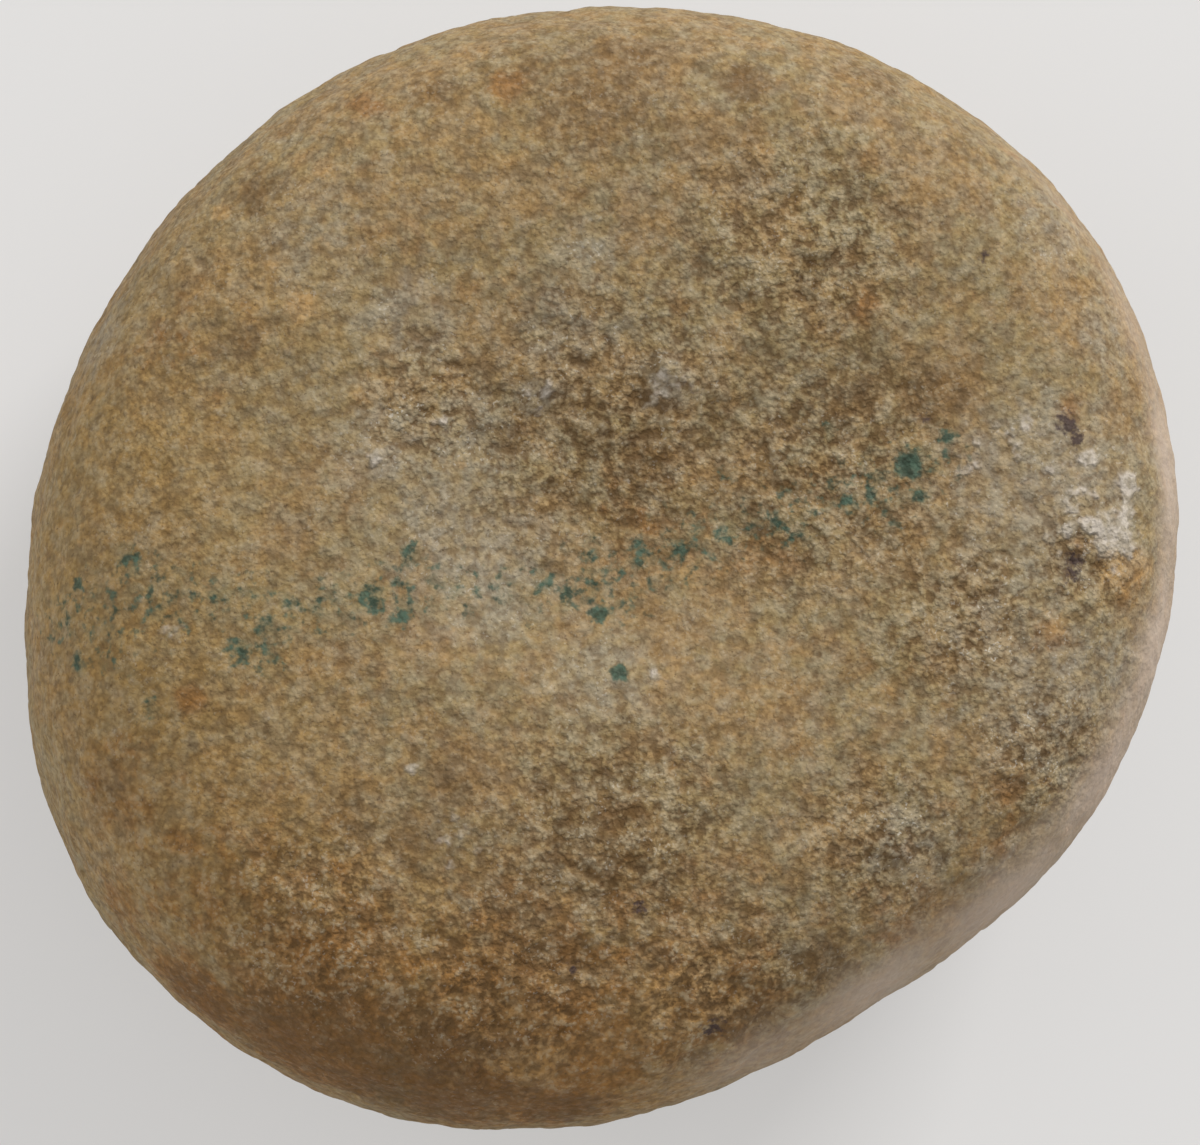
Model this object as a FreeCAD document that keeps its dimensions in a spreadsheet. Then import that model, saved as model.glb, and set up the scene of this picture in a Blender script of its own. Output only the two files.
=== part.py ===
import FreeCAD, Part
import math
import os

import Sketcher

# Chunkey stone: one worked disc of sandstone, with a shallow dish in both broad faces.
# Millimetres, +Z up. The origin lies under the middle of the stone's outline, on the plane that
# the stone rests on. +X runs along the stone's longest way across.

# The outline is a plain oval of this length and width, at the height where the stone is widest.
# It was worked by hand, so it stands out from the oval, or falls short of it, by a few mm: one
# value for every spoke, thirty degrees apart, anticlockwise from +X.
SPOKE_STEP = 30
HAND_WORKED = [-0.5, 1.5, 1.4, 0.0, -0.3, -0.9, -0.1, 3.1, 2.8, -0.6, -4.4, -2.8]

SIZES = {
    "length": 102.0,
    "width": 99.0,
    "thickness": 47.0,
    "widest_height": 23.0,
    # The side rolls over into each rim: how far in the rim's crest stands, how much nearer it
    # is to the side at one bearing than all round, and how square the roll is, where 2 would be
    # a plain oval and more is fuller.
    "upper_rim_inset": 23.0,
    "upper_rim_lean": 6.0,
    "upper_rim_bearing": 50.0,
    "upper_squareness": 2.8,
    "lower_rim_inset": 18.0,
    "lower_rim_lean": 0.0,
    "lower_rim_bearing": 0.0,
    "lower_squareness": 2.45,
    # The upper dish sinks from the crest of the rim to a small level floor, off the middle. Its
    # fullness moves the steepest part of its slope: more than 1 out, less than 1 in.
    "dish_middle_x": -5.0,
    "dish_middle_y": 0.0,
    "dish_depth": 3.7,
    "dish_fullness": 0.85,
    "dish_floor_reach": 4.0,
    # The lower dish is shallower. Its depth is above the plane that the stone rests on.
    "hollow_middle_x": 0.0,
    "hollow_middle_y": 0.0,
    "hollow_depth": 2.1,
    "hollow_fullness": 1.2,
    "hollow_floor_reach": 4.0,
    # Use has worn the lower rim flat. Unworn, it would reach this far below the rest plane.
    "worn_off": 0.45,
}

# How many rings the skin takes from the widest height to a rim, and from a rim to a dish's floor.
SIDE_STEPS = 5
DISH_STEPS = 4
QUARTER_TURN = 90

BEARINGS = range(0, 360, SPOKE_STEP)
# A closed cubic curve through the points of a round needs its poles this much further out.
POLE_SHARE = 3 / (2 + math.cos(math.radians(SPOKE_STEP)))

# Sketcher's own numbers for a sketch's origin, a lone point and a circle's centre.
ORIGIN = (-1, 1)
POINT = 1
CENTRE = 3


def spoke_name(bearing):
    return f"worked_{bearing:03d}"


def outline_reach(bearing):
    """How far the outline stands from the middle at its widest: the plain oval and hand work."""
    along = f"(2 * cos({bearing}) / Sizes.length) ^ 2"
    across = f"(2 * sin({bearing}) / Sizes.width) ^ 2"
    return f"(1 / sqrt({along} + {across}) + Sizes.{spoke_name(bearing)})"


def rim_inset(half, bearing):
    """How far inside the outline the crest of a rim stands."""
    lean = f"Sizes.{half}_rim_lean * cos({bearing} - Sizes.{half}_rim_bearing)"
    return f"(Sizes.{half}_rim_inset - {lean})"


def side_ring(half, turn):
    """A ring of the rolled side, a turn of 0 to 90 degrees from the widest height to the rim."""
    bulge = f"cos({turn}) ^ (2 / Sizes.{half}_squareness)"
    climb = f"sin({turn}) ^ (2 / Sizes.{half}_squareness)"
    if half == "upper":
        height = f"Sizes.widest_height + (Sizes.thickness - Sizes.widest_height) * {climb}"
    else:
        height = f"Sizes.widest_height - (Sizes.widest_height + Sizes.worn_off) * {climb}"

    def place(bearing):
        reach = f"({outline_reach(bearing)} - {rim_inset(half, bearing)} * (1 - {bulge}))"
        return f"{reach} * cos({bearing})", f"{reach} * sin({bearing})"

    return place, height


def dish_ring(half, share):
    """A ring of a dish, at a share of the way from the edge of its floor out to the rim."""
    if half == "upper":
        dish = "dish"
        rim_height = "Sizes.thickness"
        sunk = "-Sizes.dish_depth"
    else:
        dish = "hollow"
        rim_height = "-Sizes.worn_off"
        sunk = "(Sizes.hollow_depth + Sizes.worn_off)"
    height = f"{rim_height} + {sunk} * (1 + cos(180 * {share} ^ Sizes.{dish}_fullness)) / 2"

    def along(bearing, axis, turn):
        floor = f"(Sizes.{dish}_middle_{axis} + Sizes.{dish}_floor_reach * {turn})"
        rim = f"({outline_reach(bearing)} - {rim_inset(half, bearing)}) * {turn}"
        return f"(1 - {share}) * {floor} + {share} * {rim}"

    def place(bearing):
        return along(bearing, "x", f"cos({bearing})"), along(bearing, "y", f"sin({bearing})")

    return place, height


def skin_rings():
    """Every ring by name, from the middle of the underside, out, up, and in to the upper dish."""
    rings = {}
    for step in range(DISH_STEPS):
        rings[f"HollowRing{step}"] = dish_ring("lower", step / DISH_STEPS)
    for step in range(SIDE_STEPS, 0, -1):
        rings[f"LowerRing{step}"] = side_ring("lower", QUARTER_TURN * step / SIDE_STEPS)
    for step in range(SIDE_STEPS + 1):
        rings[f"UpperRing{step}"] = side_ring("upper", QUARTER_TURN * step / SIDE_STEPS)
    for step in range(DISH_STEPS - 1, -1, -1):
        rings[f"DishRing{step}"] = dish_ring("upper", step / DISH_STEPS)
    return rings


def fill_sheet(doc):
    """Write every driving dimension into the sheet, with its name as the cell's alias."""
    sheet = doc.addObject("Spreadsheet::Sheet", "Sizes")
    rows = dict(SIZES)
    rows.update((spoke_name(bearing), worked) for bearing, worked in zip(BEARINGS, HAND_WORKED))
    for row, (name, value) in enumerate(rows.items(), start=1):
        sheet.set(f"A{row}", name)
        sheet.set(f"B{row}", str(value))
        sheet.setAlias(f"B{row}", name)
    doc.recompute()


def level_sketch(body, name, height):
    """An empty sketch of the body, level, at the height that an expression gives."""
    sketch = body.newObject("Sketcher::SketchObject", name)
    plane = next(o for o in body.Origin.OriginFeatures if o.Role == "XY_Plane")
    sketch.AttachmentSupport = [(plane, "")]
    sketch.MapMode = "FlatFace"
    sketch.setExpression("AttachmentOffset.Base.z", height)
    return sketch


def draw_ring(body, name, place, height):
    """A closed smooth curve, held at every spoke by two dimensions that the sheet drives."""
    sketch = level_sketch(body, name, height)
    texts = [place(bearing) for bearing in BEARINGS]
    points = [FreeCAD.Vector(*(sketch.evalExpression(text) for text in pair)) for pair in texts]
    middle = sum(points, FreeCAD.Vector()) / len(points)
    poles = [middle + (point - middle) * POLE_SHARE for point in points]
    knots = list(range(len(poles) + 1))
    curve = Part.BSplineCurve()
    curve.buildFromPolesMultsKnots(poles, [1] * len(knots), knots, True, 3)
    sketch.exposeInternalGeometry(sketch.addGeometry(curve, False))
    knot_ids = [i for i, g in enumerate(sketch.Geometry) if isinstance(g, Part.Point)]
    for point, pair in zip(points, texts):
        nearest = min(knot_ids, key=lambda i: (sketch.getPoint(i, POINT) - point).Length)
        for kind, value, text in zip(("DistanceX", "DistanceY"), point, pair):
            held = Sketcher.Constraint(kind, *ORIGIN, nearest, POINT, value)
            sketch.setExpression(f"Constraints[{sketch.addConstraint(held)}]", text)
    return sketch


def wear_flat(doc, body, skin):
    """Cut away what reaches below the rest plane, which leaves the flat that the stone rests on."""
    sketch = level_sketch(body, "WornArea", "0")
    wider_than_stone = SIZES["length"]
    sketch.addGeometry(Part.Circle(FreeCAD.Vector(), FreeCAD.Vector(0, 0, 1), wider_than_stone), False)
    sketch.addConstraint(Sketcher.Constraint("Coincident", 0, CENTRE, *ORIGIN))
    radius = sketch.addConstraint(Sketcher.Constraint("Radius", 0, wider_than_stone))
    sketch.setExpression(f"Constraints[{radius}]", "Sizes.length")
    flat = body.newObject("PartDesign::Pocket", "WornFlat")
    flat.Profile = sketch
    flat.Type = "Length"
    flat.setExpression("Length", "Sizes.thickness")
    doc.recompute()
    worn_volume = skin.Shape.Volume - flat.Shape.Volume
    print(f"worn off the lower rim: {worn_volume:.0f} mm3")
    if not 0 < worn_volume < 0.01 * skin.Shape.Volume:
        raise SystemExit("the resting flat cuts the wrong amount")


def make_stone(doc):
    body = doc.addObject("PartDesign::Body", "StoneDisc")
    body.Label = "stone_disc"
    body.Placement = FreeCAD.Placement()
    rings = [draw_ring(body, name, *ring) for name, ring in skin_rings().items()]
    skin = body.newObject("PartDesign::AdditiveLoft", "Skin")
    skin.Profile = rings[0]
    skin.Sections = rings[1:]
    doc.recompute()
    wear_flat(doc, body, skin)
    return body


def check(doc, body):
    for item in doc.Objects:
        if "Invalid" in item.State or "Error" in item.State:
            raise SystemExit(f"{item.Name} did not build: {item.State}")
    shape = body.Shape
    if shape.isNull() or not shape.isValid() or len(shape.Solids) != 1:
        raise SystemExit("the stone is not one valid solid")
    box = shape.optimalBoundingBox(True, False)
    print(f"{body.Label}: {box.XLength:.1f} x {box.YLength:.1f} x {box.ZLength:.1f} mm")
    print(f"middle {box.Center.x:.2f}, {box.Center.y:.2f}; lowest {box.ZMin:.3f}")
    print(f"volume {shape.Volume / 1000:.1f} cm3")


def main():
    doc = FreeCAD.newDocument("ChunkeyStone")
    fill_sheet(doc)
    body = make_stone(doc)
    check(doc, body)
    os.makedirs("parts", exist_ok=True)
    body.Shape.exportStep(f"parts/{body.Label}.step")


main()
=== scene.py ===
import math
from itertools import product

import bpy
import numpy as np
from mathutils import Matrix, Vector
from mathutils.bvhtree import BVHTree


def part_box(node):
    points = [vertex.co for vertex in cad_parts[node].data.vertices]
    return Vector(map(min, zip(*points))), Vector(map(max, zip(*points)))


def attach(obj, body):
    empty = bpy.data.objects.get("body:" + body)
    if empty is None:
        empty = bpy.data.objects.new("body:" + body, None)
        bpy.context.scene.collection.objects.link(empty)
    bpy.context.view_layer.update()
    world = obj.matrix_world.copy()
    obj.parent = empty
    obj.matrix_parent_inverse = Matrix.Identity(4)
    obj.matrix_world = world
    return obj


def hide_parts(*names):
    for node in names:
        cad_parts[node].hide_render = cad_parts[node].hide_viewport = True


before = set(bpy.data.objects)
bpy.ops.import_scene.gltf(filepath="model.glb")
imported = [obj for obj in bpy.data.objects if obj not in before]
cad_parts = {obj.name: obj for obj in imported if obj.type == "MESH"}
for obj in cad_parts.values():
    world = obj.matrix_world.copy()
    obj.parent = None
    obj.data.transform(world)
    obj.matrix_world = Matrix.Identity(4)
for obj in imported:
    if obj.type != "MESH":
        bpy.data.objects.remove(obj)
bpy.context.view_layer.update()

MM = 0.001
SEED = 11

# The photograph's frame, and the camera that took it: nearly overhead, leaning back a little
# towards the stone's lower left.
PHOTO_WIDE = 1200
PHOTO_HIGH = 1145
CAMERA_DISTANCE = 420 * MM
CAMERA_LEAN_LEFT = math.radians(6.5)
CAMERA_LEAN_DOWN = math.radians(6.0)
CAMERA_SEES_FROM = 10 * MM
MM_PER_PIXEL = 0.0893
SENSOR = 36.0
AIM = Vector((-0.2, -0.15, 23.0)) * MM


def photo_camera():
    """The camera, and its own right, up and back directions."""
    back = Vector((-math.tan(CAMERA_LEAN_LEFT), -math.tan(CAMERA_LEAN_DOWN), 1)).normalized()
    right = Vector((0, 1, 0)).cross(back).normalized()
    up = back.cross(right)
    camera = bpy.data.objects.new("PhotoCamera", bpy.data.cameras.new("PhotoCamera"))
    camera.data.sensor_width = SENSOR
    camera.data.lens = SENSOR * CAMERA_DISTANCE / (PHOTO_WIDE * MM_PER_PIXEL * MM)
    camera.data.clip_start = CAMERA_SEES_FROM
    turn = Matrix((right, up, back)).transposed()
    camera.matrix_world = Matrix.Translation(AIM + back * CAMERA_DISTANCE) @ turn.to_4x4()
    bpy.context.collection.objects.link(camera)
    bpy.context.scene.camera = camera
    return camera, turn


camera, camera_turn = photo_camera()


def through_pixel(x, y):
    """The direction in which the camera sees a pixel of the photograph."""
    per_pixel = SENSOR / PHOTO_WIDE / camera.data.lens
    seen = Vector(((x - PHOTO_WIDE / 2) * per_pixel, (PHOTO_HIGH / 2 - y) * per_pixel, -1))
    return (camera_turn @ seen).normalized()


# The stone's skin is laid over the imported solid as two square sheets, one for each broad face.
# Each is shrunk to a round, whose rim is the stone's widest line, and they share that line.
SHEET_CELLS = 50
SUBDIVISIONS = 2
ROUNDING = 1e-9

# The solid is first probed along this many bearings and elevations, to space the points evenly.
PROBE_BEARINGS = 8
PROBE_ELEVATIONS = 181

# The bare margin round each sheet in the map.
MAP_MARGIN = 0.004


def round_from_square(across, along):
    """A square's points (-1 to 1) moved onto a round: ring by ring, with cells of even size."""
    ring = np.maximum(np.abs(across), np.abs(along))
    safe = np.where(ring > 0, ring, 1)
    flat = np.abs(across) >= np.abs(along)
    turn = np.where(flat, along, across) / safe * math.pi / 4
    cos, sin = np.cos(turn), np.sin(turn)
    x = np.where(flat, np.sign(across) * ring * cos, ring * sin)
    y = np.where(flat, ring * sin, np.sign(along) * ring * cos)
    return x, y, ring


def even_climb(tree, middle, upper):
    """Elevations from the middle that give points of even spacing from the top to the side."""
    elevations = np.linspace(math.pi / 2, 0, PROBE_ELEVATIONS)
    way = np.zeros(len(elevations))
    for bearing in np.linspace(0, 2 * math.pi, PROBE_BEARINGS, endpoint=False):
        hits = []
        for elevation in elevations:
            level, rise = math.cos(elevation), math.sin(elevation) * (1 if upper else -1)
            aim = Vector((level * math.cos(bearing), level * math.sin(bearing), rise))
            hits.append(tree.ray_cast(middle, aim)[0])
        steps = [(b - a).length for a, b in zip(hits, hits[1:])]
        way[1:] += np.cumsum(steps)
    return way / way[-1], elevations


def lay_sheet(tree, middle, upper):
    """Points of one sheet laid on the solid, row by row, and their places on the square."""
    count = 2 * SHEET_CELLS + 1
    line = np.linspace(-1, 1, count)
    across, along = (a.ravel() for a in np.meshgrid(line, line))
    x, y, ring = round_from_square(across, along)
    way, elevations = even_climb(tree, middle, upper)
    elevation = np.interp(ring, way, elevations)
    bearing = np.arctan2(y, x)
    level = np.cos(elevation)
    rise = np.sin(elevation) * (1 if upper else -1)
    aims = np.stack([level * np.cos(bearing), level * np.sin(bearing), rise])
    points = [tree.ray_cast(middle, Vector(aim))[0] for aim in aims.T]
    return np.array(points), across, along


def closed_skin(solid):
    """The two sheets welded into one closed mesh, with a map that holds one above the other."""
    tree = BVHTree.FromObject(solid, bpy.context.evaluated_depsgraph_get())
    low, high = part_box(solid.name)
    middle = (Vector(low) + Vector(high)) / 2
    count = 2 * SHEET_CELLS + 1
    points, faces, places, welded = [], [], [], {}
    for upper in (True, False):
        laid, across, along = lay_sheet(tree, middle, upper)
        index = {}
        for cell, (point, a, b) in enumerate(zip(laid, across, along)):
            on_rim = max(abs(a), abs(b)) > 1 - ROUNDING
            key = (round(a * SHEET_CELLS), round(b * SHEET_CELLS))
            if on_rim and key in welded:
                index[cell] = welded[key]
                continue
            index[cell] = len(points)
            points.append(point)
            if on_rim:
                welded[key] = index[cell]
        for row, column in product(range(count - 1), repeat=2):
            start = row * count + column
            ring = [start, start + 1, start + count + 1, start + count]
            if not upper:
                ring.reverse()
            faces.append([index[c] for c in ring])
            places.extend((across[c], along[c], upper) for c in ring)
    mesh = bpy.data.meshes.new("StoneSkin")
    mesh.from_pydata([tuple(p) for p in points], [], faces)
    chart = mesh.uv_layers.new(name="OFBake")
    for loop, (a, b, upper) in enumerate(places):
        u = MAP_MARGIN + (1 - 2 * MAP_MARGIN) * (a + 1) / 2
        v = MAP_MARGIN + (0.5 - 2 * MAP_MARGIN) * (b + 1) / 2 + (0.5 if upper else 0)
        chart.data[loop].uv = (u, v)
    return mesh


def subdivided(mesh):
    """The same skin with each cell split smoothly, as a new mesh."""
    coarse = bpy.data.objects.new("CoarseSkin", mesh)
    bpy.context.collection.objects.link(coarse)
    split = coarse.modifiers.new("Split", "SUBSURF")
    split.levels = SUBDIVISIONS
    split.render_levels = SUBDIVISIONS
    graph = bpy.context.evaluated_depsgraph_get()
    fine = bpy.data.meshes.new_from_object(coarse.evaluated_get(graph))
    bpy.data.objects.remove(coarse)
    return fine


def points_of(mesh):
    flat = np.empty(3 * len(mesh.vertices))
    mesh.vertices.foreach_get("co", flat)
    return flat.reshape(-1, 3)


def normals_of(mesh):
    flat = np.empty(3 * len(mesh.vertices))
    mesh.vertex_normals.foreach_get("vector", flat)
    return flat.reshape(-1, 3)


# Relief

# Repeatable noise: each corner of a lattice takes one of many directions, by a code that large odd
# factors mix from the corner's place and a seed.
random = np.random.default_rng(SEED)
DIRECTION_COUNT = 4096
DIRECTIONS = random.normal(size=(DIRECTION_COUNT, 3))
DIRECTIONS /= np.linalg.norm(DIRECTIONS, axis=1)[:, None]
PLACE_FACTORS = np.array([73856093, 19349663, 83492791], dtype=np.uint64)
SEED_FACTOR = 2654435761
CODE_FACTOR = np.uint64(2246822519)
FIRST_SHIFT = np.uint64(15)
SECOND_SHIFT = np.uint64(13)
LATTICE_START = 1000
NOISE_GAIN = 1.6


def corner_directions(corner, seed):
    """A repeatable direction for each corner of the noise's lattice."""
    mixed = corner.astype(np.uint64) * PLACE_FACTORS
    code = mixed[:, 0] ^ mixed[:, 1] ^ mixed[:, 2] ^ np.uint64(seed * SEED_FACTOR)
    code = (code ^ (code >> FIRST_SHIFT)) * CODE_FACTOR
    code = (code ^ (code >> SECOND_SHIFT)) & np.uint64(DIRECTION_COUNT - 1)
    return DIRECTIONS[code.astype(np.int64)]


def swell(points, cell, seed):
    """Smooth noise of about -1 to 1 whose lumps are about one cell wide."""
    place = points / cell + LATTICE_START
    base = np.floor(place)
    part = place - base
    ease = part**3 * (part * (part * 6 - 15) + 10)
    total = np.zeros(len(points))
    for corner in product((0, 1), repeat=3):
        corner = np.array(corner)
        share = np.prod(np.where(corner, ease, 1 - ease), axis=1)
        slope = corner_directions(base + corner, seed)
        total += share * np.einsum("ij,ij->i", slope, part - corner)
    return total * NOISE_GAIN


def blend(value, start, end):
    """0 before start, 1 after end, and eased between them."""
    share = np.clip((value - start) / (end - start), 0, 1)
    return share * share * (3 - 2 * share)


skin = subdivided(closed_skin(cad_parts["stone_disc"]))
base_points = points_of(skin)
base_normals = normals_of(skin)
skin_tree = BVHTree.FromPolygons(
    [Vector(p) for p in base_points], [tuple(p.vertices) for p in skin.polygons]
)


def on_stone(pixel):
    """Where the camera's line through a pixel of the photograph meets the stone."""
    place = skin_tree.ray_cast(camera.matrix_world.translation, through_pixel(*pixel))[0]
    if place is None:
        raise SystemExit(f"the stone isn't under pixel {pixel}")
    return np.array(place)


def spot(pixel, reach):
    """1 at the stone's point under a pixel, easing to 0 at about a reach (mm) from it."""
    away = np.linalg.norm(base_points - on_stone(pixel), axis=1)
    return np.exp(-((away / (reach * MM)) ** 2))


# Where the stone's surface is rough from pecking: the pixel over each middle, and its reach in mm.
PECKED = {
    "upper slope of the dish": ((620, 420), 17),
    "right of the dish": ((820, 470), 16),
    "right": ((960, 620), 10),
    "below the dish": ((620, 840), 15),
    "upper right": ((800, 250), 14),
    "lower right": ((880, 840), 10),
    "lower right shoulder": ((1040, 760), 9),
    "right shoulder": ((1090, 560), 7),
    "bottom right": ((720, 990), 13),
    "bottom": ((500, 990), 14),
    "bottom left": ((320, 930), 12),
    "upper left of the dish": ((430, 400), 8),
}
PECKED_ELSEWHERE = 0.45

# The stone's gentle waves, and the lumps of its pecked ground: size in mm, height in mm and seed.
WAVES = {
    "long": (17, 0.20, 1),
    "short": (8, 0.16, 2),
}
LUMPS = {
    "pecked": (4.4, 0.44, 12),
    "grainy": (1.3, 0.19, 9),
}

# Pits, where two noises add up high enough: size in mm, weight and seed.
PITS = {
    "wide": (3.2, 0.6, 5),
    "narrow": (1.7, 0.5, 6),
}
PIT_EDGE = 0.02
PIT_FLOOR = 0.42
PIT_DEPTH = 0.32

# The flat that the stone rests on is whole up to the first height in mm and ends at the second.
# Nothing stands out from it, and this share of what is sunk in it is filled.
FLAT_UP_TO = 0.05
FLAT_ENDS = 0.6
FLAT_FILLED = 0.7

# Single hollows and humps of the hand-worked face: pixel, reach in mm and how far in or out.
FORMS = {
    "foot of the upper slope": ((600, 500), 7, -0.7),
    "brow over the upper slope": ((690, 370), 8, 0.5),
    "hollow beside the brow": ((480, 420), 4, -0.35),
    "knob by the hollow": ((560, 350), 4, 0.45),
    "hollow at the right": ((810, 440), 6, -0.45),
    "knob at the right": ((900, 330), 7, 0.35),
    "sill below the seam": ((520, 680), 6, 0.5),
    "sill, left end": ((400, 640), 5, 0.35),
    "sill, right end": ((650, 710), 6, 0.4),
    "fall below the sill": ((440, 790), 9, -0.5),
    "step at the lower left": ((340, 850), 5, -0.25),
    "hollow under the knob at the right": ((890, 400), 4, -0.3),
    "brow over the dish, left": ((545, 395), 2.4, 0.4),
    "brow over the dish, right": ((665, 378), 2.4, 0.4),
    "pocket under the brow": ((520, 435), 2.2, -0.4),
    "pocket, right": ((650, 440), 3, -0.35),
    "pocket at the bottom": ((565, 985), 4, -0.35),
    "hump at the left": ((200, 600), 9, 0.3),
    "hollow at the upper left": ((230, 400), 7, -0.3),
    "hollow right of the bottom": ((640, 960), 8, -0.35),
    "hollow at the lower right": ((940, 760), 8, -0.3),
}


def pecked():
    """How rough each point of the skin is, 0 to 1."""
    amount = np.full(len(base_points), PECKED_ELSEWHERE)
    for pixel, reach in PECKED.values():
        amount = np.maximum(amount, spot(pixel, reach))
    return amount


def added_swells(layers):
    """Several noises added up, each with its own size, strength and seed."""
    return sum(most * swell(base_points, size * MM, seed) for size, most, seed in layers.values())


def pits():
    """Where pecking and loose grains have left pits: 0 on the ground between them, 1 inside."""
    return blend(added_swells(PITS), PIT_EDGE, PIT_FLOOR)


def relief(rough, pitted):
    """How far each point of the skin stands out from the smooth form, in metres."""
    total = added_swells(WAVES) + rough * (added_swells(LUMPS) - PIT_DEPTH * pitted)
    for pixel, reach, out in FORMS.values():
        total += out * spot(pixel, reach)
    return total * MM


rough_places = pecked()
pitted_places = pits()
lift = relief(rough_places, pitted_places)
resting = 1 - blend(base_points[:, 2], FLAT_UP_TO * MM, FLAT_ENDS * MM)
lift = np.where(lift > 0, lift * (1 - resting), lift * (1 - FLAT_FILLED * resting))
skin.vertices.foreach_set("co", (base_points + base_normals * lift[:, None]).ravel())
skin.polygons.foreach_set("use_smooth", [True] * len(skin.polygons))
skin.update()
stone = bpy.data.objects.new("stone_skin", skin)
bpy.context.collection.objects.link(stone)
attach(stone, "root")
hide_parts("stone_disc")


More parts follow.
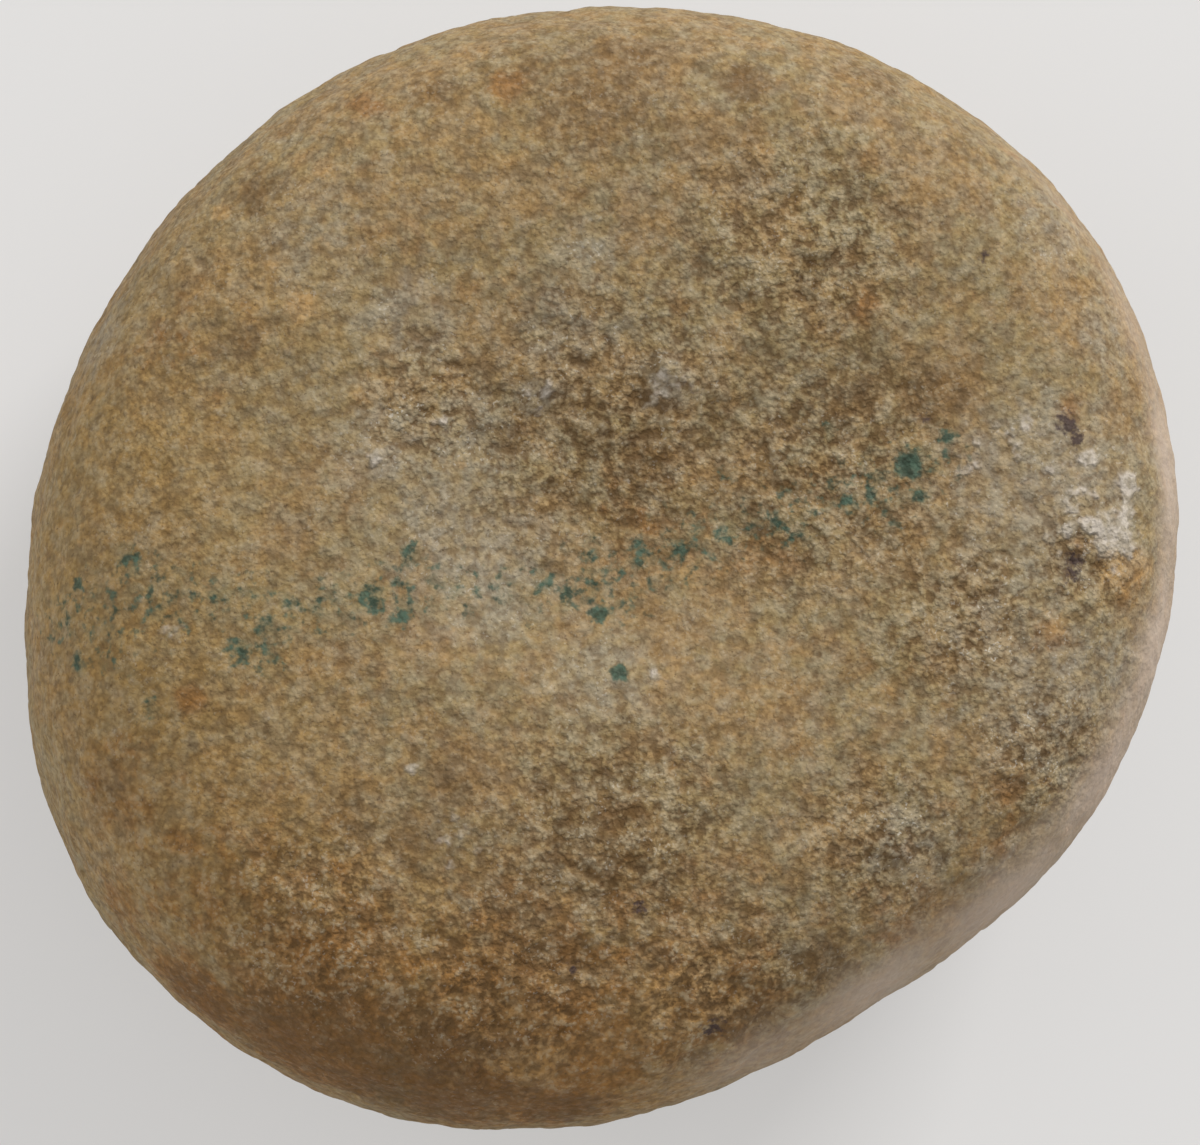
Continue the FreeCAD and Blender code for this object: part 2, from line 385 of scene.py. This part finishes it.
# Stains and minerals, each named for where the photograph shows it: the pixel that it lies under,
# its reach in mm and its strength. The last value of a stain is its strength everywhere else. Some
# grey, dark brown and crust spots are painted light and shade, marked where they stand.
STAINS = {
    # Iron, orange to brown
    "rust": ({
        "wide, lower left shoulder": ((230, 890), 12, 0.5),
        "left shoulder": ((130, 790), 9, 0.4),
        "wide, below left": ((320, 980), 12, 0.75),
        "wide, bottom": ((520, 1060), 14, 0.95),
        "wide, bottom right": ((700, 1000), 10, 0.55),
        "round the lone pit": ((640, 890), 12, 0.45),
        "upper left shoulder": ((180, 330), 8, 0.4),
        "below the crust": ((1122, 592), 2.0, 0.6),
        "below the crust, right": ((1138, 578), 1.6, 0.7),
        "further below the crust": ((1048, 636), 2.4, 0.65),
        "between the green flecks": ((650, 525), 6, 0.5),
        "right of the green flecks": ((760, 560), 5, 0.4),
        "small, far left": ((190, 700), 1.6, 0.9),
        "small, upper right": ((870, 310), 2, 0.6),
        "streak by the top": ((365, 105), 2.0, 0.7),
        "streak at the top": ((510, 82), 2.4, 0.75),
        "bottom left wall": ((306, 1056), 8, 1.0),
        "lower left wall": ((202, 1000), 7, 0.85),
        "lower left edge": ((118, 905), 5, 0.6),
        "round the upper inclusion": ((1070, 412), 1.6, 0.8),
        "under the lower inclusion": ((1082, 545), 1.2, 0.6),
        "lower right": ((1000, 820), 7, 0.45),
        "right of the bottom": ((880, 910), 8, 0.45),
    }, 0.16),
    # Light orange
    "peach": ({
        "upper left": ((300, 305), 2.0, 0.85),
        "by the top left edge": ((325, 165), 1.5, 0.7),
        "top left shoulder": ((222, 210), 1.5, 0.8),
        "under the top left shoulder": ((270, 265), 1.0, 0.7),
        "top, right of middle": ((765, 157), 1.4, 0.75),
        "top": ((710, 125), 1.2, 0.6),
        "over the dish": ((500, 290), 2.4, 0.6),
        "bottom right": ((664, 998), 3.0, 0.9),
        "bottom": ((538, 1064), 3.0, 1.0),
        "pale, below the green flecks": ((690, 570), 2.6, 0.5),
        "under the crust": ((1060, 630), 2.4, 0.5),
        "small, lower right": ((762, 880), 1.4, 0.6),
        "below the crust": ((1116, 572), 2.6, 0.95),
        "below the crust, by the edge": ((1136, 562), 2.0, 0.9),
        "bottom, wide": ((520, 1030), 9, 0.5),
        "bottom right, wide": ((700, 1000), 7, 0.55),
    }, 0.14),
    # Yellow ochre
    "ochre": ({
        "left": ((130, 450), 13, 0.9),
        "left, below the seam": ((150, 680), 14, 0.9),
        "lower left": ((240, 860), 14, 0.9),
        "below left": ((400, 1000), 13, 0.9),
        "bottom": ((580, 1060), 13, 0.9),
        "upper left": ((250, 280), 12, 0.5),
        "top": ((480, 130), 12, 0.4),
        "left wall": ((60, 560), 9, 0.8),
    }, 0.1),
    # Grey: stains, and painted light where the dish's lower slope and brows face the lamp
    "ash": ({
        "below the sill": ((420, 760), 6, 0.3),
        # Painted light: the dish's lower slope faces the lamp, so it is made paler.
        "lower slope of the dish": ((475, 560), 8, 0.95),
        "lower slope, upper end": ((390, 450), 5, 0.9),
        "lower slope, brightest": ((445, 520), 5, 1.0),
        "upper left": ((310, 240), 10, 0.5),
        # Painted light on the dish's lower slope, as above.
        "lower slope, lower end": ((600, 680), 6, 0.7),
        "upper slope of the dish": ((590, 320), 7, 0.5),
        # Painted highlights on the brows over the dish.
        "brow, left": ((540, 395), 2.6, 0.9),
        "brow, right": ((668, 380), 2.8, 0.9),
        "upper left of the dish": ((410, 318), 5, 0.8),
        "over the brow": ((560, 330), 5, 0.75),
        "above the dish": ((590, 250), 3.4, 0.7),
        "left of the brow": ((470, 440), 5, 0.8),
        "right shoulder": ((1050, 690), 9, 0.9),
        "lower right": ((910, 848), 5, 0.9),
        "round the crust": ((1050, 490), 10, 1.0),
        "below the crust": ((1010, 620), 10, 0.6),
        "right of the bottom": ((900, 930), 5, 0.5),
        "upper right edge": ((1050, 230), 4, 0.9),
        "right edge, upper": ((1108, 333), 4, 0.9),
        "right edge, over the crust": ((1145, 446), 3, 0.8),
        "right edge, by the crust": ((1134, 563), 2.5, 0.9),
        "right shoulder, low": ((1067, 776), 3, 0.7),
        "right edge": ((1112, 672), 5, 1.0),
        "lower right edge": ((998, 860), 3, 0.8),
        "left edge, upper": ((98, 344), 4, 0.8),
    }, 0.3),
    # Dark brown: stains, and painted shade where the face turns away from the lamp
    "umber": ({
        "bottom left wall": ((360, 1050), 9, 0.85),
        "bottom wall": ((440, 1096), 8, 1.0),
        "bottom wall, left": ((380, 1078), 8, 1.0),
        "bottom wall, right": ((560, 1110), 5, 0.9),
        "over the bottom wall": ((432, 1056), 5, 1.0),
        "lower left wall, low": ((290, 1040), 8, 1.0),
        "lower left wall": ((202, 998), 5, 0.9),
        "below left": ((350, 830), 3, 0.6),
        # Painted shade: the dish's upper slope faces away from the lamp.
        "upper slope, left": ((515, 440), 3, 0.6),
        "upper slope, middle": ((645, 465), 4.5, 0.6),
        "upper slope, right": ((840, 395), 5, 0.6),
        "end of the upper slope": ((760, 520), 4, 0.5),
        "bottom right": ((738, 1012), 4, 0.8),
        "bottom right, edge": ((770, 1045), 4, 0.5),
        "right of the bottom": ((822, 962), 4, 0.8),
        "lower right shoulder": ((1045, 766), 3, 0.42),
        "under the crust": ((1000, 642), 3, 0.5),
        "top right edge": ((872, 76), 4, 0.6),
        "right of the top": ((970, 143), 2.5, 0.45),
        "left of the top": ((336, 121), 2.5, 0.42),
        "top edge, right": ((748, 84), 3, 0.85),
        "top edge, left": ((434, 92), 3.5, 0.6),
        "top edge": ((536, 68), 3, 0.6),
        "upper left edge": ((257, 192), 4, 0.65),
        # Painted shade along the left shoulder, which faces away from the lamp.
        "left, over the seam": ((112, 461), 3, 0.42),
        "upper left shoulder": ((165, 330), 2.6, 0.5),
        "left wall": ((100, 600), 5, 0.4),
        "lower left shoulder": ((105, 790), 4, 0.5),
        "lone pit": ((660, 902), 4, 0.4),
        "over the bottom": ((556, 972), 5, 0.8),
        "over the bottom, right": ((655, 955), 4, 0.6),
        # Painted shade on the fall below the sill, which slopes away from the lamp.
        "below the sill": ((450, 770), 7, 0.5),
        "left of the sill": ((350, 810), 4, 0.55),
        "below the fall": ((480, 850), 6, 0.5),
        "left of the fall": ((425, 838), 5, 0.58),
        "further below the fall": ((512, 900), 6, 0.6),
        # Painted shade under the knob at the right.
        "under the knob at the right": ((935, 395), 4, 0.7),
        "upper left, inner": ((235, 345), 3, 0.55),
        "wide, below the dish": ((590, 830), 9, 0.6),
        "top": ((600, 85), 12, 0.55),
        "bottom, wide": ((470, 1078), 9, 0.9),
    }, 0.3),
    # White mineral crust
    "crust": ({
        "left tip": ((1024, 424), 1.5, 0.6),
        "under the upper inclusion": ((1088, 458), 1.1, 0.8),
        "upper right": ((1131, 490), 1.7, 0.85),
        "largest": ((1118, 532), 3.0, 0.85),
        "flake, middle": ((1092, 526), 1.1, 0.95),
        "flake, left": ((1065, 531), 0.9, 0.9),
        "thin, middle": ((1075, 505), 5, 0.37),
        "thin, left": ((1000, 465), 5, 0.34),
        # Partly crust, partly painted highlight: the brows over the dish face the lamp.
        "brow, left": ((545, 396), 1.6, 0.5),
        "brow, right": ((664, 388), 2.0, 0.55),
        "in the dish, upper left": ((440, 420), 0.8, 0.7),
        "in the dish, left": ((375, 460), 1.0, 0.7),
        "lone, below the flecks": ((655, 676), 0.8, 0.75),
        "lone, lower left": ((414, 770), 0.8, 0.6),
        "lone, left": ((177, 629), 1.0, 0.6),
        "thin, lower left": ((450, 840), 2.6, 0.35),
    }, 0.0),
    # Dark mineral grains, each in a pit
    "ink": ({
        "upper inclusion": ((1068, 424), 1.3, 0.8),
        "tail of the upper inclusion": ((1077, 441), 0.9, 0.72),
        "lower inclusion": ((1076, 562), 1.4, 0.68),
        "tail of the lower inclusion": ((1073, 578), 0.9, 0.64),
        "small, right of middle": ((926, 420), 0.7, 0.56),
        "small, upper right": ((985, 255), 0.9, 0.56),
        "lone pit": ((641, 906), 0.9, 0.64),
        "bottom right": ((714, 1027), 1.4, 0.64),
        "bottom": ((574, 969), 0.9, 0.48),
    }, 0.0),
}

# Skin that faces up or down by no more than the first of these, out of 1, is side wall, and by the
# second or more it is face. The edge between them wanders: size in mm, how far and seed.
WALL_FACING = 0.45
FACE_FACING = 0.78
WALL_WANDER = {"edge": (5, 0.06, 14)}

# The wall is smoother than the face, by this share of the most, and by more along the right, where
# it is pinkish grey, partly its own colour and partly painted light from the pale floor: the pixel
# over each middle, its reach in mm and its strength.
PLAIN_WALL = 0.4
TAUPE_WALL = {
    "upper right": ((1046, 232), 8, 0.45),
    "right, upper": ((1120, 335), 10, 0.5),
    "right": ((1163, 480), 12, 0.9),
    "right, lower": ((1155, 640), 12, 0.9),
    "lower right": ((1105, 770), 11, 0.9),
    "lower right, middle": ((1010, 895), 10, 0.9),
    "lower right, left end": ((880, 985), 9, 0.8),
    "by the bottom": ((760, 1055), 6, 0.5),
}

# A seam of green copper mineral crosses the face as sparse flecks, thicker in a few clumps.
GREEN_SEAM = {
    "left wall": (52, 628),
    "left shoulder": (150, 585),
    "left of the dish": (300, 610),
    "in the dish": (420, 590),
    "below the middle": (600, 590),
    "right of the middle": (740, 530),
    "right end": (940, 455),
}
SEAM_REACH = 3.6
SEAM_STRENGTH = 0.35
GREEN_CLUMPS = {
    "wash, middle": ((600, 585), 5, 0.42),
    "wash, right of middle": ((690, 545), 4, 0.42),
    "wash, further right": ((790, 520), 4, 0.4),
    "wash, right end": ((880, 490), 4.5, 0.42),
    "wash, left shoulder": ((160, 600), 5, 0.4),
    "wash, far left": ((100, 645), 4, 0.38),
    "wash, in the dish": ((400, 585), 4, 0.4),
    "wash, left": ((270, 635), 4, 0.4),
    "largest": ((908, 466), 1.6, 0.88),
    "below the largest": ((922, 496), 1.0, 0.67),
    "beside the largest": ((872, 494), 1.2, 0.71),
    "left of the largest": ((848, 504), 1.2, 0.67),
    "small, right end": ((946, 437), 1.1, 0.63),
    "small, above": ((828, 430), 1.1, 0.49),
    "middle, right": ((776, 524), 1.8, 0.54),
    "middle": ((725, 532), 1.2, 0.59),
    "dark, left of middle": ((680, 549), 1.5, 0.67),
    "thin, left of middle": ((640, 556), 2.2, 0.54),
    "upper left of middle": ((592, 552), 1.5, 0.59),
    "lower left of middle": ((600, 614), 1.1, 0.76),
    "trail, lower left": ((567, 592), 1.1, 0.71),
    "trail, start": ((545, 582), 1.8, 0.54),
    "above the seam": ((728, 473), 1.2, 0.45),
    "in the dish": ((411, 554), 1.4, 0.63),
    "below in the dish": ((372, 602), 1.8, 0.67),
    "beside in the dish": ((400, 616), 1.2, 0.67),
    "curl on the left": ((240, 652), 1.5, 0.67),
    "over the curl": ((264, 628), 1.5, 0.59),
    "thin, left": ((290, 605), 2.5, 0.45),
    "left shoulder": ((218, 596), 1.2, 0.59),
    "upper left shoulder": ((130, 562), 1.8, 0.59),
    "outer left shoulder": ((79, 583), 1.0, 0.63),
    "dark, left": ((77, 664), 0.9, 0.8),
    "lone, below": ((620, 674), 0.9, 0.71),
    "stray, lower left": ((150, 710), 2.0, 0.36),
}

# The lower part, which the photograph doesn't show, gets stains of the same kinds, at random.
HIDDEN_BELOW = 20
HIDDEN_STAINS = 9
HIDDEN_REACH = (2, 9)
HIDDEN_STRENGTH = 0.45


def scattered(count):
    """Random points of the lower part of the stone."""
    hidden = np.flatnonzero(base_points[:, 2] < HIDDEN_BELOW * MM)
    return base_points[random.choice(hidden, count)]


def painted(places, everywhere):
    """A stain's strength at every point of the skin."""
    strength = np.full(len(base_points), everywhere)
    for pixel, reach, most in places.values():
        strength = np.maximum(strength, most * spot(pixel, reach))
    for middle in scattered(HIDDEN_STAINS):
        reach = random.uniform(*HIDDEN_REACH) * MM
        away = np.linalg.norm(base_points - middle, axis=1)
        added = HIDDEN_STRENGTH * np.exp(-((away / reach) ** 2))
        strength = np.maximum(strength, everywhere + added)
    return strength


def seam():
    """The strength of the green flecks: a soft band along the seam, and the clumps."""
    stops = [on_stone(pixel) for pixel in GREEN_SEAM.values()]
    nearest = np.full(len(base_points), np.inf)
    for start, end in zip(stops, stops[1:]):
        way = end - start
        share = np.clip((base_points - start) @ way / (way @ way), 0, 1)
        away = np.linalg.norm(base_points - start - share[:, None] * way, axis=1)
        nearest = np.minimum(nearest, away)
    band = SEAM_STRENGTH * np.exp(-((nearest / (SEAM_REACH * MM)) ** 2))
    for pixel, reach, most in GREEN_CLUMPS.values():
        band = np.maximum(band, most * spot(pixel, reach))
    return band


def keep_mask(name, values):
    """A value per point of the skin, which the material reads by its name."""
    mask = skin.attributes.new(name, "FLOAT", "POINT")
    mask.data.foreach_set("value", values)


facing = np.abs(base_normals[:, 2]) + added_swells(WALL_WANDER)
steep = 1 - blend(facing, WALL_FACING, FACE_FACING)
for stain, (places, everywhere) in STAINS.items():
    keep_mask(stain, painted(places, everywhere))
keep_mask("green", seam())
keep_mask("wall", steep * (PLAIN_WALL + (1 - PLAIN_WALL) * painted(TAUPE_WALL, 0.0)))
# Pinkish grey on the right wall: partly its own colour, partly painted light from the floor.
keep_mask("taupe_and_floor_light", steep * painted(TAUPE_WALL, 0.0))
keep_mask("pecked", rough_places)
keep_mask("pit", pitted_places * rough_places)


# Materials

# The sandstone's noises: the size of their lumps in mm, their detail and its roughness.
NOISES = {
    "broad": (9.0, 2.0, 0.5),
    "patches": (2.4, 4.0, 0.62),
    "flecks": (0.95, 2.5, 0.58),
    "specks": (0.55, 2.0, 0.55),
    "grains_and_glints": (0.32, 1.0, 0.5),
    "lumps": (1.4, 2.0, 0.5),
}

# A grain's width, and the height of its bump, in mm.
GRAIN_WIDTH = 0.5
GRAIN_HEIGHT = 0.5

# Colours as the shader takes them, in linear light.
COLOURS = {
    "olive ground": (0.322, 0.270, 0.142),
    "brown ground": (0.355, 0.238, 0.109),
    "wall": (0.355, 0.250, 0.110),
    "ochre": (0.380, 0.240, 0.062),
    "ash": (0.425, 0.360, 0.250),
    "rust": (0.33, 0.150, 0.042),
    "umber": (0.165, 0.090, 0.036),
    "broken ash": (0.33, 0.285, 0.20),
    "broken rust": (0.27, 0.120, 0.032),
    "broken umber": (0.125, 0.070, 0.028),
    "broken peach": (0.46, 0.285, 0.12),
    "warm tinge": (1.04, 0.982, 0.86),
    "cool tinge": (0.97, 1.012, 1.10),
    "painted recess shade": (0.116, 0.062, 0.021),
    "pit": (0.130, 0.074, 0.028),
    "painted crest highlight": (0.52, 0.42, 0.268),
    "painted_glint": (0.66, 0.61, 0.52),
    "dark grain": (0.085, 0.050, 0.026),
    "taupe_and_floor_light": (0.58, 0.465, 0.385),
    "thin crust": (0.40, 0.345, 0.265),
    "thick crust": (0.62, 0.55, 0.465),
    "green halo": (0.155, 0.170, 0.100),
    "dark copper": (0.022, 0.055, 0.040),
    "light copper": (0.062, 0.122, 0.088),
    "ink": (0.062, 0.040, 0.038),
}

# Soft stains, in the order in which they are laid, and the share of colour that each gives.
SOFT_STAINS = {"ochre": 0.9, "ash": 0.7, "rust": 0.55, "umber": 0.8}

# Stains with ragged edges: the noise that breaks them, which of its three, the width of their
# edges, and the share of colour that they give.
BROKEN_STAINS = {
    "ash": ("patches", 1, 0.4, 0.4),
    "rust": ("patches", 0, 0.3, 0.5),
    "umber": ("flecks", 0, 0.3, 0.5),
    "peach": ("patches", 1, 0.3, 0.6),
}


class Nodes:
    """Short ways to lay out the nodes of one material or group."""

    def __init__(self, tree):
        self.tree = tree

    def add(self, kind, links=None, **settings):
        node = self.tree.nodes.new(kind)
        for name, value in settings.items():
            setattr(node, name, value)
        for key, value in (links or {}).items():
            self.feed(node.inputs[key], value)
        return node

    def feed(self, socket, value):
        if isinstance(value, bpy.types.NodeSocket):
            self.tree.links.new(value, socket)
        else:
            socket.default_value = value

    def math(self, operation, *values):
        return self.add("ShaderNodeMath", dict(enumerate(values)), operation=operation).outputs[0]

    def ramp(self, value, low, high, to_low=0.0, to_high=1.0, smooth=True):
        links = {"Value": value, 1: low, 2: high, 3: to_low, 4: to_high}
        kind = "SMOOTHSTEP" if smooth else "LINEAR"
        return self.add("ShaderNodeMapRange", links, interpolation_type=kind).outputs[0]

    def mix(self, share, first, second, kind="MIX"):
        node = self.add("ShaderNodeMix", data_type="RGBA", blend_type=kind)
        self.feed(node.inputs[0], share)
        for socket, colour in ((node.inputs[6], first), (node.inputs[7], second)):
            self.feed(socket, (*colour, 1) if isinstance(colour, tuple) else colour)
        return node.outputs[2]

    def noises(self, place, size, detail, rough):
        """Three unlike noises with lumps of one size in mm."""
        links = {"Vector": place, "Scale": 1 / size, "Detail": detail, "Roughness": rough}
        colour = self.add("ShaderNodeTexNoise", links).outputs["Color"]
        return self.add("ShaderNodeSeparateColor", {0: colour}).outputs

    def scaled(self, share, value):
        return self.math("MULTIPLY", value, share)


def broken_patch_group():
    """A stain with a ragged edge: noise eats into the soft mask that the skin carries."""
    group = bpy.data.node_groups.new("BrokenPatch", "ShaderNodeTree")
    for name in ("Noise", "Mask", "Edge"):
        group.interface.new_socket(name=name, in_out="INPUT", socket_type="NodeSocketFloat")
    group.interface.new_socket(name="Cover", in_out="OUTPUT", socket_type="NodeSocketFloat")
    nodes = Nodes(group)
    given = nodes.add("NodeGroupInput").outputs
    spread = nodes.ramp(given["Noise"], 0.3, 0.7, smooth=False)
    both_edges = nodes.scaled(2.0, given["Edge"])
    raised = nodes.math("MULTIPLY_ADD", given["Mask"], nodes.math("ADD", both_edges, 1.0), spread)
    cover = nodes.ramp(nodes.math("SUBTRACT", raised, 1.0), 0.0, both_edges)
    nodes.add("NodeGroupOutput", {"Cover": cover})
    return group


def sandstone():
    """Worn sandstone: fine cemented grains, mottled, stained and crusted."""
    material = bpy.data.materials.new("Sandstone")
    material.use_nodes = True
    nodes = Nodes(material.node_tree)
    shader = material.node_tree.nodes["Principled BSDF"]
    patch = broken_patch_group()
    metres = nodes.add("ShaderNodeTexCoord").outputs["Object"]
    place = nodes.add("ShaderNodeVectorMath", {0: metres, 3: 1 / MM}, operation="SCALE").outputs[0]
    noise = {name: nodes.noises(place, *shape) for name, shape in NOISES.items()}

    def mask(name):
        return nodes.add("ShaderNodeAttribute", attribute_name=name).outputs["Fac"]

    def cover(name, broken_by, edge, most):
        """How far a stain with ragged edges covers what is under it, up to its most."""
        node = nodes.add("ShaderNodeGroup", node_tree=patch)
        for key, value in (("Noise", broken_by), ("Mask", mask(name)), ("Edge", edge)):
            nodes.feed(node.inputs[key], value)
        return nodes.scaled(most, node.outputs["Cover"])

    def laid(under, share, name):
        """A coat of a named colour, laid over what is under it."""
        return nodes.mix(share, under, COLOURS[name])

    def between(value, low, high, first, second):
        """One named colour turning into another as a value climbs."""
        return nodes.mix(nodes.ramp(value, low, high), COLOURS[first], COLOURS[second])

    # Grains: rounded cells with seams of softer cement between them. How strongly their height is
    # painted as light and shade follows how pecked the stone is.
    cells = nodes.add("ShaderNodeTexVoronoi", {"Vector": place, "Scale": 1 / GRAIN_WIDTH})
    tone = nodes.add("ShaderNodeSeparateColor", {0: cells.outputs["Color"]}).outputs
    dome = nodes.ramp(cells.outputs["Distance"], 0.1, 0.8, 1.0, 0.0)
    uneven = nodes.ramp(noise["flecks"][2], 0.28, 0.72, smooth=False)
    lumpy = nodes.ramp(noise["patches"][2], 0.3, 0.7, smooth=False)
    height = nodes.math("ADD", nodes.scaled(0.2, dome), nodes.scaled(0.5, uneven))
    height = nodes.math("ADD", height, nodes.scaled(0.3, lumpy))
    smooth_wall = mask("wall")
    calm = nodes.ramp(smooth_wall, 0.0, 1.0, 1.0, 0.5, smooth=False)
    painted_relief_strength = nodes.ramp(mask("pecked"), 0.3, 1.0, 0.32, 0.92, smooth=False)
    painted_relief_strength = nodes.math("MULTIPLY", painted_relief_strength, calm)

    # Ground colour, mottled in broad patches, then the stains
    ground = nodes.scaled(0.5, noise["broad"][0])
    ground = nodes.math("ADD", ground, nodes.scaled(0.5, noise["patches"][0]))
    colour = between(ground, 0.42, 0.58, "olive ground", "brown ground")
    colour = laid(colour, nodes.scaled(0.4, smooth_wall), "wall")
    for stain, most in SOFT_STAINS.items():
        colour = laid(colour, nodes.scaled(most, mask(stain)), stain)
    for stain, (kind, which, edge, most) in BROKEN_STAINS.items():
        colour = laid(colour, cover(stain, noise[kind][which], edge, most), f"broken {stain}")

    # Each grain's own tinge and tone, then painted shade between the grains and in the pits,
    # painted highlights on the raised tops, and painted glints
    tinge = between(noise["lumps"][2], 0.35, 0.65, "warm tinge", "cool tinge")
    colour = nodes.mix(1.0, colour, tinge, "MULTIPLY")
    by_grain = nodes.ramp(tone[0], 0.0, 1.0, 0.9, 1.12, smooth=False)
    by_speck = nodes.ramp(noise["specks"][2], 0.3, 0.7, 0.86, 1.14, smooth=False)
    light = nodes.math("MULTIPLY", by_grain, by_speck)
    grey = nodes.add("ShaderNodeCombineColor", {0: light, 1: light, 2: light}).outputs[0]
    colour = nodes.mix(1.0, colour, grey, "MULTIPLY")
    # Painted shade: darker where the grains' height is low, most where the stone is pecked.
    recess_shade = nodes.math("MULTIPLY", nodes.ramp(height, 0.52, 0.28), painted_relief_strength)
    colour = laid(colour, nodes.scaled(0.9, recess_shade), "painted recess shade")
    # Painted shade: darker in the pits.
    colour = laid(colour, nodes.scaled(0.3, mask("pit")), "pit")
    # Painted highlight: paler where the grains' height is high, less so on dark brown.
    crest_highlight = nodes.math("MULTIPLY", nodes.ramp(height, 0.52, 0.75), painted_relief_strength)
    crest_highlight = nodes.math("MULTIPLY", crest_highlight, nodes.ramp(mask("umber"), 0.4, 1.0, 0.58, 0.2))
    colour = laid(colour, crest_highlight, "painted crest highlight")
    # Painted glints: small pale specks, mostly in grey places where the stone is pecked.
    painted_glint = nodes.ramp(noise["grains_and_glints"][0], 0.62, 0.7)
    painted_glint = nodes.math("MULTIPLY", painted_glint, nodes.ramp(noise["patches"][2], 0.4, 0.62))
    painted_glint = nodes.math("MULTIPLY", painted_glint, nodes.ramp(mask("ash"), 0.2, 0.6, 0.25, 0.7))
    colour = laid(colour, nodes.math("MULTIPLY", painted_glint, painted_relief_strength), "painted_glint")
    dark_grains = nodes.ramp(noise["grains_and_glints"][1], 0.66, 0.74)
    colour = laid(colour, nodes.scaled(0.45, dark_grains), "dark grain")

    # The grey side wall, partly its own colour and partly painted light from the floor, and the
    # minerals that lie over everything else
    colour = laid(colour, nodes.scaled(0.75, mask("taupe_and_floor_light")), "taupe_and_floor_light")
    crusted = cover("crust", noise["lumps"][0], 0.35, 0.85)
    crust = between(noise["flecks"][0], 0.38, 0.6, "thin crust", "thick crust")
    colour = nodes.mix(crusted, colour, crust)
    colour = laid(colour, cover("green", noise["lumps"][1], 0.5, 0.4), "green halo")
    copper = between(noise["flecks"][0], 0.4, 0.6, "dark copper", "light copper")
    colour = nodes.mix(cover("green", noise["flecks"][1], 0.3, 0.85), colour, copper)
    colour = laid(colour, cover("ink", noise["specks"][2], 0.35, 0.9), "ink")
    nodes.feed(shader.inputs["Base Color"], colour)

    # The grains' bumps, strongest where the stone is pecked, and the crust that stands over them
    bumpy = nodes.ramp(mask("pecked"), 0.3, 1.0, 0.45, 1.0, smooth=False)
    raised = nodes.math("MULTIPLY", height, nodes.math("MULTIPLY", calm, bumpy))
    raised = nodes.math("ADD", raised, nodes.scaled(0.5, crusted))
    grains = {"Height": raised, "Strength": 1.0, "Distance": GRAIN_HEIGHT * MM}
    bump = nodes.add("ShaderNodeBump", grains)
    nodes.feed(shader.inputs["Normal"], bump.outputs["Normal"])
    matt = nodes.ramp(tone[1], 0.0, 1.0, 0.95, 0.65, smooth=False)
    nodes.feed(shader.inputs["Roughness"], matt)
    nodes.feed(shader.inputs["Specular IOR Level"], 0.2)
    return material


skin.materials.append(sandstone())


# Stage

FLOOR_HALF = 1.2
FLOOR_COLOUR = (0.80, 0.79, 0.78, 1)
FLOOR_OWN_TONE = (0.74, 0.73, 0.72, 1)
FLOOR_OWN_SHARE = 0.55
LAMPS_AIM = (0, 0, 0.02)
ROOM_LIGHT = 0.52


def pale_finish():
    """Matt and pale. Seen straight, part of its tone is its own, so its shadows stay pale."""
    material = bpy.data.materials.new("PaleFloor")
    material.use_nodes = True
    nodes = Nodes(material.node_tree)
    shader = material.node_tree.nodes["Principled BSDF"]
    nodes.feed(shader.inputs["Base Color"], FLOOR_COLOUR)
    nodes.feed(shader.inputs["Roughness"], 0.95)
    own = nodes.add("ShaderNodeEmission", {"Color": FLOOR_OWN_TONE, "Strength": 1.0})
    seen = nodes.add("ShaderNodeLightPath").outputs["Is Camera Ray"]
    share = nodes.scaled(FLOOR_OWN_SHARE, seen)
    both = nodes.add("ShaderNodeMixShader", {0: share, 1: shader.outputs[0], 2: own.outputs[0]})
    nodes.feed(material.node_tree.nodes["Material Output"].inputs["Surface"], both.outputs[0])
    return material


def pale_floor():
    mesh = bpy.data.meshes.new("Floor")
    corners = [(x * FLOOR_HALF, y * FLOOR_HALF, 0) for x, y in ((-1, -1), (1, -1), (1, 1), (-1, 1))]
    mesh.from_pydata(corners, [], [(0, 1, 2, 3)])
    floor = bpy.data.objects.new("Floor", mesh)
    bpy.context.collection.objects.link(floor)
    mesh.materials.append(pale_finish())


def lamp(name, place, size, power):
    """A square lamp that shines on the stone."""
    light = bpy.data.lights.new(name, "AREA")
    light.shape = "SQUARE"
    light.size = size
    light.energy = power
    holder = bpy.data.objects.new(name, light)
    holder.location = place
    holder.rotation_mode = "QUATERNION"
    holder.rotation_quaternion = (Vector(LAMPS_AIM) - Vector(place)).to_track_quat("-Z", "Y")
    bpy.context.collection.objects.link(holder)


def room():
    """Even white light from all round."""
    world = bpy.data.worlds.new("Room")
    world.use_nodes = True
    background = world.node_tree.nodes["Background"]
    background.inputs["Color"].default_value = (1, 1, 1, 1)
    background.inputs["Strength"].default_value = ROOM_LIGHT
    bpy.context.scene.world = world


pale_floor()
lamp("Window", place=(0.62, 0.95, 0.66), size=0.5, power=13.2)
lamp("Fill", place=(-1.0, 0.1, 0.5), size=0.8, power=2.5)
room()
bpy.context.scene.view_settings.view_transform = "Standard"
